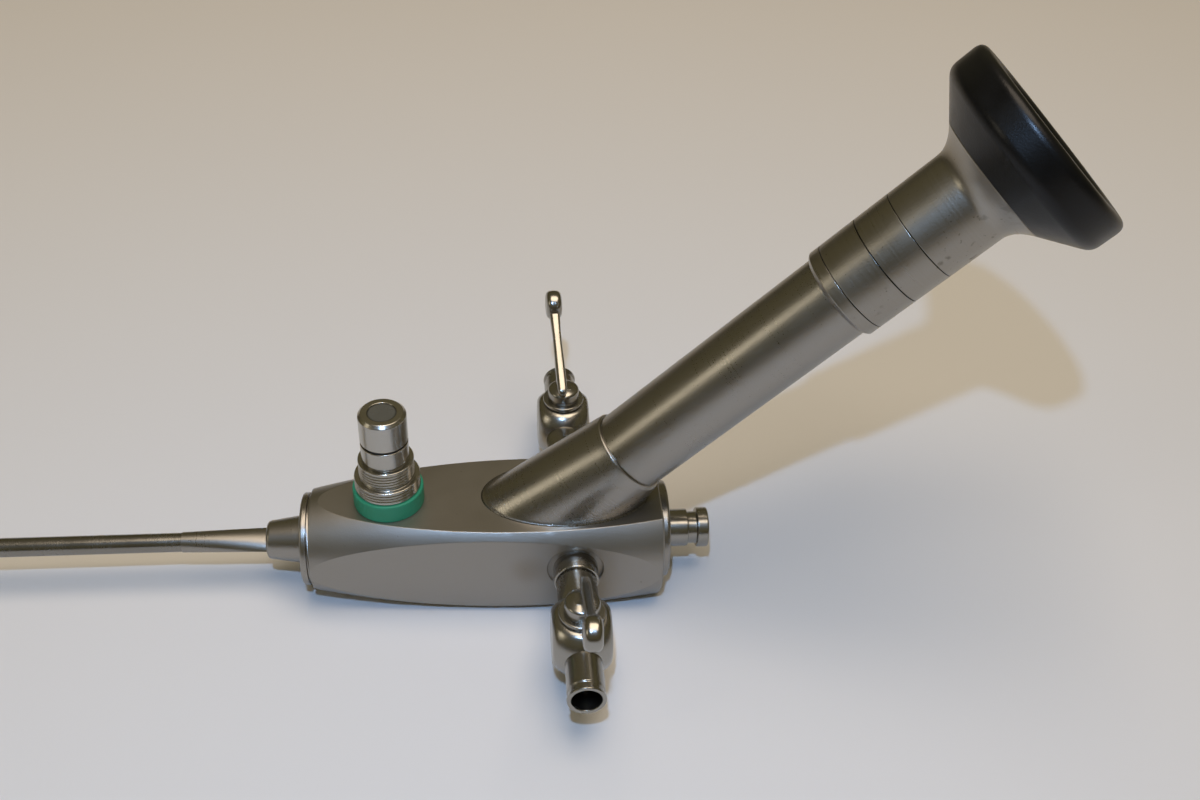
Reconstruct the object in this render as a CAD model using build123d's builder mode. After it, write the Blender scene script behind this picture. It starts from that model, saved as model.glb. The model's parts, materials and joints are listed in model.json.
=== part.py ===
"""Rigid endoscope with an angled eyepiece, a light post, an instrument port and two stopcocks.

All sizes are in millimetres. The origin is the centre of the housing's bottom flat, on which the
instrument stands. +Z is up, the sheath leaves towards -X, the instrument port towards +X, and the
eyepiece tube rises in the XZ plane between +X and +Z. One stopcock is on each side, along Y.
"""

from build123d import *
import os
from math import asin, cos, pi, radians, sin, sqrt, tan

os.makedirs("parts", exist_ok=True)

# Housing: a turned barrel, flat above, below and on both sides
housing_length = 56.6
housing_height = 17.0
housing_left_radius = 8.2
housing_middle_radius = 12.0
housing_right_radius = 10.7
side_flat_distance = 9.46
side_flat_angle = 2.65
edge_break = 0.25

# Sheath end
sheath_radius = 1.55
sheath_wall = 0.25
working_length = 340.0
collar_radius = 7.6
collar_width = 1.1
collar_neck_radius = 7.2
collar_neck_width = 0.5
cone_length = 5.9
cone_root_radius = 3.95
cone_nose_radius = 3.05
sleeve_length = 13.7
sleeve_root_wall = 0.43
sleeve_nose_wall = 0.11
sheath_depth = 4.5
tip_length = 5.0
tip_taper = 0.1
tip_round = 0.2

# What runs inside the sheath
channel_radius = 0.75
channel_wall = 0.12
bundle_radius = 0.42
fibre_radius = 0.28
bundle_bend_radius = 8.0
bend_room = 1.2
objective_length = 1.2

# Instrument port
rear_plate_radius = 8.0
rear_plate_width = 1.4
port_radius = 3.1
port_barrel_length = 3.6
port_groove_radius = 2.65
port_groove_length = 1.5
port_flange_radius = 3.3
port_flange_length = 1.95
port_bore_radius = 1.9
port_stem_radius = 2.9
port_stem_length = 8.0
funnel_length = 2.4
funnel_radius = 2.3
seal_width = 1.6
seal_radius = 2.3
seal_hole_radius = 0.7

# Light post
post_x = -15.6
post_bore_radius = 2.0
fibre_plug_radius = 1.95
colour_ring_radius = 5.63
colour_ring_height = 3.2
post_stem_radius = 4.0
post_stem_depth = 3.0
post_flange_radius = 5.2
post_flange_height = 2.45
post_neck_radius = 4.4
post_neck_height = 3.3
post_tip_radius = 3.75
adapter_height = 3.45
spigot_radius = 3.0
spigot_height = 2.0
oring_height = 0.45
oring_radius = 3.55
post_tip_height = 5.2
window_radius = 2.24
window_thickness = 0.6
window_recess = 0.12

# Eyepiece, with lengths along its slanted axis from the top flat
eyepiece_x = 13.94
eyepiece_angle = 45.0
socket_radius = 7.1
socket_end = 12.65
foot_x = 12.8
foot_half_length = 13.4
foot_half_width = 7.44
socket_spigot_length = 6.0
tube_radius = 6.65
tube_bore_radius = 5.3
tube_end = 54.2
step_ring_end = 56.6
marking_ring_end = 62.85
spacer_ring_end = 68.8
ring_radius = 7.42
ring_edge = 0.18
spigot_wall = 1.0
core_wall = 0.78
core_overlap = 7.0
flare_start = 77.4
barrel_end = 81.5
barrel_flare_radius = 10.3
cup_rim_start = 85.8
cup_radius = 16.0
cup_front = 91.3
cup_lip_round = 1.6
cup_mouth_radius = 12.4
cup_floor = 85.9
cup_floor_radius = 5.2
eye_window_thickness = 1.0
ocular_thickness = 2.4
ocular_gap = 3.0
ferrule_length = 6.0
field_stop_thickness = 0.8
field_stop_hole = 2.2

# Stopcocks
cock_x = 14.0
cock_z = 9.8
spot_face_radius = 4.5
spot_face_distance = 9.75
stub_radius = 3.6
stub_length = 3.2
neck_radius = 3.2
cock_bore_radius = 1.1
neck_groove_depth = 0.35
neck_groove_width = 0.3
front_plug_y = 24.0
rear_plug_y = 26.8
ball_radius = 6.24
ball_side = 4.6
ball_top = 4.85
outlet_radius = 2.87
outlet_length = 12.4
luer_mouth_radius = 2.3
luer_depth = 7.5
luer_taper = 0.03
lug_groove_depth = 0.35
lug_length = 0.9
lug_rim = 0.2
plug_top_radius = 2.5
plug_bottom_radius = 2.1
plug_port_radius = 1.05
plug_square = 2.4
washer_radius = 3.6
washer_height = 0.75
hub_radius = 2.9
hub_height = 2.6
dome_height = 1.4
front_lever_turn = -0.8
rear_lever_turn = 3.0
lever_offset = 0.47
lever_reach = 13.7
lever_rise = 8.0
lever_tail = 2.9
lever_tail_rise = 0.6
lever_width = 1.8
lever_thickness = 1.9
lever_round = 0.4
pad_radius = 2.45
pad_width = 2.55
nut_radius = 2.9
nut_height = 1.8
plug_end_height = 0.5

# Clearances
fixed_gap = 0.02
running_gap = 0.05
end_gap = 0.1

# Places worked out from the sizes above
axis_z = housing_height / 2
half_length = housing_length / 2
left_face = -half_length
right_face = half_length
collar_face = left_face - collar_neck_width - collar_width
cone_face = collar_face - cone_length
sleeve_face = cone_face - sleeve_length
sheath_face = cone_face - working_length
tip_face = sheath_face - tip_length
sheath_inner = sheath_radius - sheath_wall
channel_drop = sheath_inner - channel_radius - 2 * fixed_gap
bundle_rise = sheath_inner - bundle_radius - 2 * fixed_gap
fibre_rise = bundle_rise - bundle_radius
fibre_spread = sqrt((sheath_inner - fibre_radius - 2 * fixed_gap) ** 2 - fibre_rise**2)
plate_face = right_face + rear_plate_width
slope = radians(eyepiece_angle)
bundle_z = axis_z + bundle_rise
bundle_corner_x = eyepiece_x - (housing_height - bundle_z) / tan(slope)
stub_end = spot_face_distance + stub_length
core_radius = tube_bore_radius - fixed_gap
core_bore_radius = core_radius - core_wall

# Each turned piece is drawn in a plane whose x axis is the axis that it turns about
long_axis = Plane(origin=(0, 0, axis_z), x_dir=(1, 0, 0), z_dir=(0, -1, 0))
post_axis = Plane(origin=(post_x, 0, 0), x_dir=(0, 0, 1), z_dir=(0, -1, 0))
eyepiece_axis = Plane(
    origin=(eyepiece_x, 0, housing_height),
    x_dir=(cos(slope), 0, sin(slope)),
    z_dir=(0, -1, 0),
)


def turn(plane, *outline, mode=Mode.ADD):
    """Revolve an outline of (distance along the axis, radius) points about the plane's x axis."""
    with BuildSketch(plane) as profile:
        with BuildLine():
            Polyline(*outline, close=True)
        make_face()
    revolve(profile.sketch, axis=Axis(plane.origin, plane.x_dir), mode=mode)


def rod(plane, start, end, radius, mode=Mode.ADD):
    """Turn a plain cylinder between two distances along the plane's x axis."""
    turn(plane, (start, 0), (start, radius), (end, radius), (end, 0), mode=mode)


def tube(plane, start, end, outer, inner):
    """Turn a plain tube between two distances along the plane's x axis."""
    turn(plane, (start, inner), (start, outer), (end, outer), (end, inner))


def dome(tip, bulge, radius):
    """Draw an arc from a tip on the turning axis to a rim; a negative bulge faces the other way."""
    ball = (radius**2 + bulge**2) / (2 * bulge)
    half_angle = asin(radius / abs(ball)) / 2
    middle = (tip - ball * (1 - cos(half_angle)), abs(ball) * sin(half_angle))
    ThreePointArc((tip, 0), middle, (tip - bulge, radius))


def at_height(rise, spread=0.0):
    """Return the long axis moved up by one distance and sideways by another."""
    return Plane(origin=(0, spread, axis_z + rise), x_dir=(1, 0, 0), z_dir=(0, -1, 0))


def rims(builder):
    """Group a part's circular edges by radius, the smallest first."""
    return builder.edges().filter_by(GeomType.CIRCLE).group_by(SortBy.RADIUS)


def save(part, name):
    """Label a finished part and write its STEP file."""
    part.label = name
    export_step(part, f"parts/{name}.step")


# Housing
side_flats = [
    Plane(
        origin=(0, side * side_flat_distance, 0),
        z_dir=(sin(radians(side_flat_angle)) * -1, side * cos(radians(side_flat_angle)), 0),
    )
    for side in (-1, 1)
]

with BuildPart() as housing:
    with BuildSketch(long_axis):
        with BuildLine():
            ThreePointArc(
                (left_face, housing_left_radius),
                (0, housing_middle_radius),
                (right_face, housing_right_radius),
            )
            Polyline(
                (right_face, housing_right_radius),
                (right_face, 0),
                (left_face, 0),
                (left_face, housing_left_radius),
            )
        make_face()
    revolve(axis=Axis(long_axis.origin, long_axis.x_dir))
    split(bisect_by=Plane.XY, keep=Keep.TOP)
    split(bisect_by=Plane.XY.offset(housing_height), keep=Keep.BOTTOM)
    for side_flat in side_flats:
        split(bisect_by=side_flat, keep=Keep.BOTTOM)
    chamfer(housing.faces().sort_by(Axis.X)[-1].edges(), edge_break)
    core_end = bundle_corner_x + bend_room
    rod(long_axis, left_face, core_end, sheath_radius + fixed_gap, mode=Mode.SUBTRACT)
    rod(at_height(-channel_drop), 0, right_face, channel_radius + running_gap, mode=Mode.SUBTRACT)
    stem_pocket = right_face - port_stem_length
    rod(long_axis, stem_pocket, right_face, port_stem_radius + fixed_gap, mode=Mode.SUBTRACT)
    funnel_start = stem_pocket - funnel_length
    turn(
        at_height(-channel_drop),
        (funnel_start, 0),
        (funnel_start, channel_radius + running_gap),
        (stem_pocket, funnel_radius),
        (stem_pocket, 0),
        mode=Mode.SUBTRACT,
    )
    rod(post_axis, axis_z, housing_height, post_bore_radius, mode=Mode.SUBTRACT)
    stem_seat = housing_height - post_stem_depth
    rod(post_axis, stem_seat, housing_height, post_stem_radius + fixed_gap, mode=Mode.SUBTRACT)
    bundle_corner = -(housing_height - bundle_z) / sin(slope) - bend_room
    rod(eyepiece_axis, bundle_corner, 2, sheath_radius + fixed_gap, mode=Mode.SUBTRACT)
    with BuildSketch(Plane.XZ.offset(-housing_middle_radius)):
        with Locations((cock_x, cock_z)):
            Circle(cock_bore_radius)
    extrude(amount=2 * housing_middle_radius, mode=Mode.SUBTRACT)
    for side in (-1, 1):
        flat_seat = Plane(
            origin=(cock_x, side * spot_face_distance, cock_z), z_dir=(0, side, 0)
        )
        with BuildSketch(flat_seat):
            Circle(spot_face_radius)
        extrude(amount=housing_middle_radius, mode=Mode.SUBTRACT)
save(housing.part, "housing")

# Sheath end
with BuildPart() as distal_collar:
    neck_face = left_face - collar_neck_width
    turn(
        long_axis,
        (collar_face, sheath_radius + fixed_gap),
        (collar_face, collar_radius),
        (neck_face, collar_radius),
        (neck_face, collar_neck_radius),
        (left_face, collar_neck_radius),
        (left_face, sheath_radius + fixed_gap),
    )
    rim = rims(distal_collar)[-1]
    fillet(rim, 0.8 * (collar_radius - collar_neck_radius))
save(distal_collar.part, "distal_collar")

with BuildPart() as shaft_cone:
    turn(
        long_axis,
        (cone_face, sheath_radius + fixed_gap),
        (cone_face, cone_nose_radius),
        (collar_face, cone_root_radius),
        (collar_face, sheath_radius + fixed_gap),
    )
    nose = shaft_cone.faces().sort_by(Axis.X)[0].edges().sort_by(SortBy.RADIUS)[-1]
    fillet(nose, 0.25 * cone_nose_radius)
save(shaft_cone.part, "shaft_cone")

with BuildPart() as shaft_sleeve:
    turn(
        long_axis,
        (sleeve_face, sheath_radius + fixed_gap),
        (sleeve_face, sheath_radius + sleeve_nose_wall),
        (cone_face, sheath_radius + sleeve_root_wall),
        (cone_face, sheath_radius + fixed_gap),
    )
save(shaft_sleeve.part, "shaft_sleeve")

with BuildPart() as sheath_tube:
    tube(long_axis, sheath_face, left_face + sheath_depth, sheath_radius, sheath_inner)
save(sheath_tube.part, "sheath_tube")

with BuildPart() as distal_tip:
    turn(
        long_axis,
        (tip_face, 0),
        (tip_face, sheath_radius - tip_taper),
        (sheath_face, sheath_radius),
        (sheath_face, 0),
    )
    face_edge = distal_tip.faces().sort_by(Axis.X)[0].edges()
    fillet(face_edge, tip_round)
    rod(at_height(-channel_drop), tip_face, sheath_face, channel_radius, mode=Mode.SUBTRACT)
    rod(at_height(bundle_rise), tip_face, sheath_face, bundle_radius, mode=Mode.SUBTRACT)
save(distal_tip.part, "distal_tip")

with BuildPart() as objective_lens:
    lens_end = tip_face + objective_length
    rod(at_height(bundle_rise), tip_face + 0.1, lens_end, bundle_radius - fixed_gap)
save(objective_lens.part, "objective_lens")

# Inside the sheath and the housing
with BuildPart() as working_channel:
    channel_bore = channel_radius - channel_wall
    tube(at_height(-channel_drop), sheath_face, funnel_start, channel_radius - fixed_gap, channel_bore)
save(working_channel.part, "working_channel")

ferrule_start = tube_end - core_overlap + 1.0
with BuildPart() as image_bundle:
    bend_tangent = bundle_bend_radius * tan(slope / 2)
    bend_start = Vector(bundle_corner_x - bend_tangent, 0, bundle_z)
    rise_start = Vector(
        bundle_corner_x + bend_tangent * cos(slope), 0, bundle_z + bend_tangent * sin(slope)
    )
    with BuildLine() as bundle_path:
        run = Line((lens_end, 0, bundle_z), bend_start)
        bend = TangentArc(bend_start, rise_start, tangent=(1, 0, 0))
        Line(rise_start, eyepiece_axis.from_local_coords((ferrule_start + ferrule_length, 0, 0)))
    with BuildSketch(Plane(origin=run @ 0, z_dir=(1, 0, 0))):
        Circle(bundle_radius - 2 * fixed_gap)
    sweep(path=bundle_path.wires()[0])
save(image_bundle.part, "image_bundle")

post_top = (
    housing_height + colour_ring_height + post_flange_height + post_neck_height
    + adapter_height + oring_height + post_tip_height
)
with BuildPart() as light_fibres:
    fibre_z = axis_z + fibre_rise
    strand_start = fibre_z + post_bore_radius
    turn(
        post_axis,
        (strand_start, 0),
        (strand_start, 0.6 * fibre_plug_radius),
        (strand_start + post_bore_radius, fibre_plug_radius),
        (post_top - window_thickness - window_recess, fibre_plug_radius),
        (post_top - window_thickness - window_recess, 0),
    )
    for side in (-1, 1):
        spread = side * fibre_spread
        with BuildLine() as strand_path:
            bend = ThreePointArc(
                (post_x, spread, strand_start),
                (
                    post_x - post_bore_radius * (1 - cos(radians(45))),
                    spread,
                    strand_start - post_bore_radius * sin(radians(45)),
                ),
                (post_x - post_bore_radius, spread, fibre_z),
            )
            Line(bend @ 1, (sheath_face, spread, fibre_z))
        with BuildSketch(Plane(origin=(post_x, spread, strand_start), z_dir=(0, 0, -1))):
            Circle(fibre_radius)
        sweep(path=strand_path.wires()[0])
save(light_fibres.part, "light_fibres")

# Instrument port
with BuildPart() as rear_plate:
    tube(long_axis, right_face, plate_face, rear_plate_radius, port_stem_radius + fixed_gap)
    outer_edge = rims(rear_plate)[-1].sort_by(Axis.X)[-1]
    fillet(outer_edge, 0.4 * rear_plate_width)
save(rear_plate.part, "rear_plate")

port_groove = plate_face + port_barrel_length
port_flange = port_groove + port_groove_length
port_face = port_flange + port_flange_length
with BuildPart() as instrument_port:
    turn(
        long_axis,
        (stem_pocket, 0),
        (stem_pocket, port_stem_radius),
        (plate_face, port_stem_radius),
        (plate_face, port_radius),
        (port_groove, port_radius),
        (port_groove, port_groove_radius),
        (port_flange, port_groove_radius),
        (port_flange, port_flange_radius),
        (port_face, port_flange_radius),
        (port_face, 0),
    )
    fillet(rims(instrument_port)[-1], 0.8 * (port_flange_radius - port_groove_radius))
    seal_seat = plate_face - rear_plate_width
    seal_end = seal_seat + seal_width
    rod(long_axis, seal_end, port_face, port_bore_radius, mode=Mode.SUBTRACT)
    rod(long_axis, seal_seat, seal_end, seal_radius, mode=Mode.SUBTRACT)
    rod(long_axis, stem_pocket, seal_seat, port_bore_radius, mode=Mode.SUBTRACT)
save(instrument_port.part, "instrument_port")

with BuildPart() as port_seal:
    tube(long_axis, seal_seat, seal_end, seal_radius - fixed_gap, seal_hole_radius)
save(port_seal.part, "port_seal")

# Light post
ring_top = housing_height + colour_ring_height
flange_top = ring_top + post_flange_height
neck_top = flange_top + post_neck_height
adapter_top = neck_top + adapter_height
oring_top = adapter_top + oring_height

with BuildPart() as colour_ring:
    stem_hole = post_stem_radius + fixed_gap
    tube(post_axis, housing_height, ring_top, colour_ring_radius, stem_hole)
    chamfer(rims(colour_ring)[-1].sort_by(Axis.Z)[-1], edge_break)
save(colour_ring.part, "colour_ring")

with BuildPart() as post_base:
    turn(
        post_axis,
        (stem_seat, post_bore_radius),
        (stem_seat, post_stem_radius),
        (ring_top, post_stem_radius),
        (ring_top, post_flange_radius),
        (flange_top, post_flange_radius),
        (flange_top, post_neck_radius),
        (neck_top, post_neck_radius),
        (neck_top, spigot_radius + fixed_gap),
        (neck_top - spigot_height, spigot_radius + fixed_gap),
        (neck_top - spigot_height, post_bore_radius),
    )
    chamfer(rims(post_base)[-1], edge_break)
save(post_base.part, "post_base")

with BuildPart() as post_adapter:
    turn(
        post_axis,
        (neck_top - spigot_height, post_bore_radius),
        (neck_top - spigot_height, spigot_radius),
        (neck_top, spigot_radius),
        (neck_top, post_tip_radius),
        (adapter_top, post_tip_radius),
        (adapter_top, spigot_radius),
        (oring_top + spigot_height, spigot_radius),
        (oring_top + spigot_height, post_bore_radius),
    )
save(post_adapter.part, "post_adapter")

with BuildPart() as post_oring:
    tube(post_axis, adapter_top, oring_top, oring_radius, spigot_radius + fixed_gap)
save(post_oring.part, "post_oring")

with BuildPart() as post_tip:
    window_seat = post_top - window_thickness - window_recess
    turn(
        post_axis,
        (oring_top, spigot_radius + fixed_gap),
        (oring_top, post_tip_radius),
        (post_top, post_tip_radius),
        (post_top, window_radius),
        (window_seat, window_radius),
        (window_seat, post_bore_radius),
        (oring_top + spigot_height, post_bore_radius),
        (oring_top + spigot_height, spigot_radius + fixed_gap),
    )
    chamfer(rims(post_tip)[-1].sort_by(Axis.Z)[-1], 2 * edge_break)
save(post_tip.part, "post_tip")

with BuildPart() as light_window:
    rod(post_axis, window_seat, window_seat + window_thickness, window_radius - fixed_gap)
save(light_window.part, "light_window")

# Eyepiece
def oval(plane, half_length, half_width, points=16):
    """Draw a face in a plane, inside a smooth closed curve through points of an ellipse."""
    angles = [2 * pi * step / points for step in range(points)]
    with BuildSketch(plane) as outline:
        with BuildLine():
            Spline(*[(half_length * cos(a), half_width * sin(a)) for a in angles], periodic=True)
        make_face()
    return outline.sketch


with BuildPart() as eyepiece_socket:
    foot_plane = Plane(origin=(foot_x, 0, housing_height))
    seam_centre = eyepiece_axis.from_local_coords((socket_end, 0, 0))
    seam_plane = Plane(
        origin=seam_centre,
        x_dir=(sin(slope), 0, -cos(slope)),
        z_dir=(cos(slope), 0, sin(slope)),
    )
    foot = oval(foot_plane, foot_half_length, foot_half_width)
    loft([foot, oval(seam_plane, socket_radius, socket_radius)])
    rod(eyepiece_axis, -2 * tube_bore_radius, socket_end, tube_bore_radius, mode=Mode.SUBTRACT)
save(eyepiece_socket.part, "eyepiece_socket")

with BuildPart() as eyepiece_tube:
    spigot_inner = core_radius - spigot_wall
    turn(
        eyepiece_axis,
        (socket_end - socket_spigot_length, spigot_inner),
        (socket_end - socket_spigot_length, core_radius),
        (socket_end, core_radius),
        (socket_end, tube_radius),
        (tube_end, tube_radius),
        (tube_end, tube_bore_radius),
        (socket_end + spigot_wall, tube_bore_radius),
        (socket_end, spigot_inner),
    )
save(eyepiece_tube.part, "eyepiece_tube")

with BuildPart() as step_ring:
    turn(
        eyepiece_axis,
        (tube_end, tube_bore_radius),
        (tube_end, tube_radius + ring_edge),
        (tube_end + ring_radius - tube_radius, ring_radius),
        (step_ring_end, ring_radius),
        (step_ring_end, tube_bore_radius),
    )
save(step_ring.part, "step_ring")


def spaced_ring(start, end):
    """Turn an eyepiece ring with a small bevel at each end."""
    turn(
        eyepiece_axis,
        (start, tube_bore_radius),
        (start, ring_radius - ring_edge),
        (start + ring_edge, ring_radius),
        (end - ring_edge, ring_radius),
        (end, ring_radius - ring_edge),
        (end, tube_bore_radius),
    )


with BuildPart() as marking_ring:
    spaced_ring(step_ring_end, marking_ring_end)
save(marking_ring.part, "marking_ring")

with BuildPart() as spacer_ring:
    spaced_ring(marking_ring_end, spacer_ring_end)
save(spacer_ring.part, "spacer_ring")

with BuildPart() as eyepiece_core:
    tube(eyepiece_axis, tube_end - core_overlap, barrel_end, core_radius, core_bore_radius)
save(eyepiece_core.part, "eyepiece_core")

with BuildPart() as eyepiece_barrel:
    with BuildSketch(eyepiece_axis):
        with BuildLine():
            Line((spacer_ring_end, ring_radius), (flare_start, ring_radius))
            flare = TangentArc(
                (flare_start, ring_radius), (barrel_end, barrel_flare_radius), tangent=(1, 0)
            )
            Polyline(
                flare @ 1,
                (barrel_end, tube_bore_radius),
                (spacer_ring_end, tube_bore_radius),
                (spacer_ring_end, ring_radius),
            )
        make_face()
    revolve(axis=Axis(eyepiece_axis.origin, eyepiece_axis.x_dir))
save(eyepiece_barrel.part, "eyepiece_barrel")

with BuildPart() as eyepiece_cup:
    window_face = cup_floor - eye_window_thickness
    turn(
        eyepiece_axis,
        (barrel_end, core_bore_radius),
        (barrel_end, barrel_flare_radius),
        (cup_rim_start, cup_radius),
        (cup_front, cup_radius),
        (cup_front, cup_mouth_radius),
        (cup_floor, cup_floor_radius),
        (window_face, cup_floor_radius),
        (window_face, core_bore_radius),
    )
    fillet(rims(eyepiece_cup)[-1], cup_lip_round)
save(eyepiece_cup.part, "eyepiece_cup")

with BuildPart() as eyepiece_window:
    rod(eyepiece_axis, window_face, cup_floor, cup_floor_radius - fixed_gap)
save(eyepiece_window.part, "eyepiece_window")

lens_radius = core_bore_radius - fixed_gap
front_lens_end = barrel_end - 1.0
front_lens_start = front_lens_end - ocular_thickness
rear_lens_end = front_lens_start - ocular_gap
rear_lens_start = rear_lens_end - ocular_thickness


def ocular_lens(start, end):
    """Turn a lens that bulges on both faces, with a flat rim in its middle."""
    bulge = 0.25 * (end - start)
    with BuildSketch(eyepiece_axis) as outline:
        with BuildLine():
            Line((start, 0), (end, 0))
            dome(end, bulge, lens_radius)
            Line((end - bulge, lens_radius), (start + bulge, lens_radius))
            dome(start, -bulge, lens_radius)
        make_face()
    revolve(outline.sketch, axis=Axis(eyepiece_axis.origin, eyepiece_axis.x_dir))


with BuildPart() as ocular_lens_front:
    ocular_lens(front_lens_start, front_lens_end)
save(ocular_lens_front.part, "ocular_lens_front")

with BuildPart() as ocular_lens_rear:
    ocular_lens(rear_lens_start, rear_lens_end)
save(ocular_lens_rear.part, "ocular_lens_rear")

with BuildPart() as lens_spacer:
    tube(eyepiece_axis, rear_lens_end, front_lens_start, lens_radius, lens_radius - 0.8)
save(lens_spacer.part, "lens_spacer")

with BuildPart() as field_stop:
    stop_start = rear_lens_start - field_stop_thickness
    tube(eyepiece_axis, stop_start, rear_lens_start, lens_radius, field_stop_hole)
save(field_stop.part, "field_stop")

with BuildPart() as bundle_ferrule:
    ferrule_end = ferrule_start + ferrule_length
    tube(eyepiece_axis, ferrule_start, ferrule_end, lens_radius, bundle_radius)
save(bundle_ferrule.part, "bundle_ferrule")


# Stopcocks, the same on both sides
for side_name, side, plug_y, lever_turn in (
    ("front", -1, front_plug_y, front_lever_turn),
    ("rear", 1, rear_plug_y, rear_lever_turn),
):
    flow_axis = Plane(origin=(cock_x, 0, cock_z), x_dir=(0, side, 0), z_dir=(1, 0, 0))
    plug_centre = (cock_x, side * plug_y, cock_z)
    plug_axis = Plane(origin=plug_centre, x_dir=(0, 0, 1), z_dir=(1, 0, 0))
    square_plane = Plane(origin=plug_centre).rotated((0, 0, lever_turn))

    with BuildPart() as neck:
        turn(
            flow_axis,
            (spot_face_distance, 0),
            (spot_face_distance, stub_radius),
            (stub_end, stub_radius),
            (stub_end, neck_radius - neck_groove_depth),
            (stub_end + neck_groove_width, neck_radius - neck_groove_depth),
            (stub_end + neck_groove_width, neck_radius),
            (plug_y, neck_radius),
            (plug_y, 0),
        )
        fillet(rims(neck)[-1].sort_by(Axis.Y)[0 if side < 0 else -1], edge_break)
        with Locations(plug_centre):
            Sphere(ball_radius + fixed_gap, mode=Mode.SUBTRACT)
        rod(flow_axis, spot_face_distance, plug_y, cock_bore_radius, mode=Mode.SUBTRACT)
    save(neck.part, f"{side_name}_neck")

    with BuildPart() as cock_body:
        with Locations(plug_centre):
            Sphere(ball_radius)
            Box(2 * ball_side, 2 * ball_radius, 2 * ball_top, mode=Mode.INTERSECT)
        rod(flow_axis, plug_y - ball_radius, plug_y + ball_radius, cock_bore_radius, mode=Mode.SUBTRACT)
        turn(
            plug_axis,
            (-ball_top, 0),
            (-ball_top, plug_bottom_radius + running_gap),
            (ball_top, plug_top_radius + running_gap),
            (ball_top, 0),
            mode=Mode.SUBTRACT,
        )
    save(cock_body.part, f"{side_name}_cock_body")

    with BuildPart() as outlet:
        mouth = plug_y + outlet_length
        rod(flow_axis, plug_y, mouth, outlet_radius)
        with Locations(plug_centre):
            Sphere(ball_radius + fixed_gap, mode=Mode.SUBTRACT)
        turn(
            flow_axis,
            (plug_y, 0),
            (plug_y, cock_bore_radius),
            (mouth - luer_depth, cock_bore_radius),
            (mouth - luer_depth, luer_mouth_radius - luer_taper * luer_depth),
            (mouth, luer_mouth_radius),
            (mouth, 0),
            mode=Mode.SUBTRACT,
        )
        lug_centre = (cock_x, side * (mouth - lug_rim - lug_length / 2), cock_z)
        corner = 2 * outlet_radius
        with BuildSketch(Plane(origin=lug_centre, x_dir=(1, 0, 0), z_dir=(0, side, 0))):
            Circle(outlet_radius + lug_groove_depth)
            Circle(outlet_radius - lug_groove_depth, mode=Mode.SUBTRACT)
            for way in (-corner, corner):
                with BuildLine():
                    Polyline((0, 0), (way, corner), (way, -corner), close=True)
                make_face(mode=Mode.SUBTRACT)
        extrude(amount=lug_length / 2, both=True, mode=Mode.SUBTRACT)
    save(outlet.part, f"{side_name}_outlet")

    washer_start = ball_top + end_gap
    hub_start = washer_start + washer_height
    hub_end = hub_start + hub_height
    nut_start = -ball_top - end_gap
    nut_end = nut_start - nut_height
    plug_end = nut_end - plug_end_height

    with BuildPart() as plug:
        turn(
            plug_axis,
            (plug_end, 0),
            (plug_end, 0.6 * plug_bottom_radius),
            (nut_start, 0.6 * plug_bottom_radius),
            (nut_start, plug_bottom_radius),
            (-ball_top, plug_bottom_radius),
            (ball_top, plug_top_radius),
            (hub_start, plug_top_radius),
            (hub_start, 0),
        )
        with BuildSketch(square_plane.offset(hub_start)):
            Rectangle(plug_square, plug_square)
        extrude(amount=hub_height)
        rod(flow_axis, plug_y - ball_radius, plug_y + ball_radius, plug_port_radius, mode=Mode.SUBTRACT)
    save(plug.part, f"{side_name}_plug")

    with BuildPart() as washer:
        bore = plug_top_radius + fixed_gap
        tube(plug_axis, washer_start, hub_start, washer_radius, bore)
        fillet(rims(washer)[-1], 0.3 * washer_height)
    save(washer.part, f"{side_name}_washer")

    with BuildPart() as nut:
        with BuildSketch(Plane(origin=plug_centre).offset(nut_end)):
            RegularPolygon(nut_radius, 6)
            Circle(0.6 * plug_bottom_radius + fixed_gap, mode=Mode.SUBTRACT)
        extrude(amount=nut_height)
    save(nut.part, f"{side_name}_nut")

    with BuildPart() as lever:
        lever_way = Vector(0, side, 0).rotate(Axis.Z, lever_turn)
        hub_top = Vector(*plug_centre) + Vector(0, 0, hub_end)
        side_way = lever_way.cross(Vector(0, 0, 1))
        root = hub_top - side_way * lever_offset
        tail = root - lever_way * lever_tail + Vector(0, 0, lever_tail_rise)
        pad = root + lever_way * lever_reach + Vector(0, 0, lever_rise)
        bar_way = (pad - tail).normalized()
        bar_plane = Plane(origin=(tail + pad) / 2, x_dir=bar_way, z_dir=side_way.cross(bar_way))
        side_plane = Plane(origin=root, x_dir=lever_way, z_dir=side_way)
        with BuildSketch(bar_plane):
            SlotCenterToCenter((pad - tail).length, lever_width)
        extrude(amount=lever_thickness / 2, both=True)
        bar_top = lever.faces().sort_by(Axis(bar_plane.origin, bar_plane.z_dir))[-1]
        fillet(bar_top.edges(), lever_round)
        with BuildSketch(side_plane):
            with BuildLine():
                Polyline(
                    (-lever_tail, 0),
                    (hub_radius, 0),
                    (2 * hub_radius, lever_tail_rise + 2 * hub_radius * lever_rise / lever_reach),
                    (-lever_tail, lever_tail_rise),
                    close=True,
                )
            make_face()
        extrude(amount=0.45 * lever_width, both=True)
        with BuildSketch(Plane(origin=pad, x_dir=side_way, z_dir=lever_way)) as pad_outline:
            Rectangle(pad_width, pad_radius, align=(Align.CENTER, Align.MIN))
            fillet(pad_outline.vertices().group_by(Axis.Y)[-1], lever_round)
        revolve(pad_outline.sketch, axis=Axis(pad, side_way))
        with BuildSketch(plug_axis) as hub_outline:
            with BuildLine():
                Polyline((hub_start, 0), (hub_start, hub_radius), (hub_end, hub_radius))
                dome(hub_end + dome_height, dome_height, hub_radius)
                Line((hub_end + dome_height, 0), (hub_start, 0))
            make_face()
        revolve(hub_outline.sketch, axis=Axis(plug_axis.origin, plug_axis.x_dir))
        with BuildSketch(square_plane.offset(hub_start)):
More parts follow.
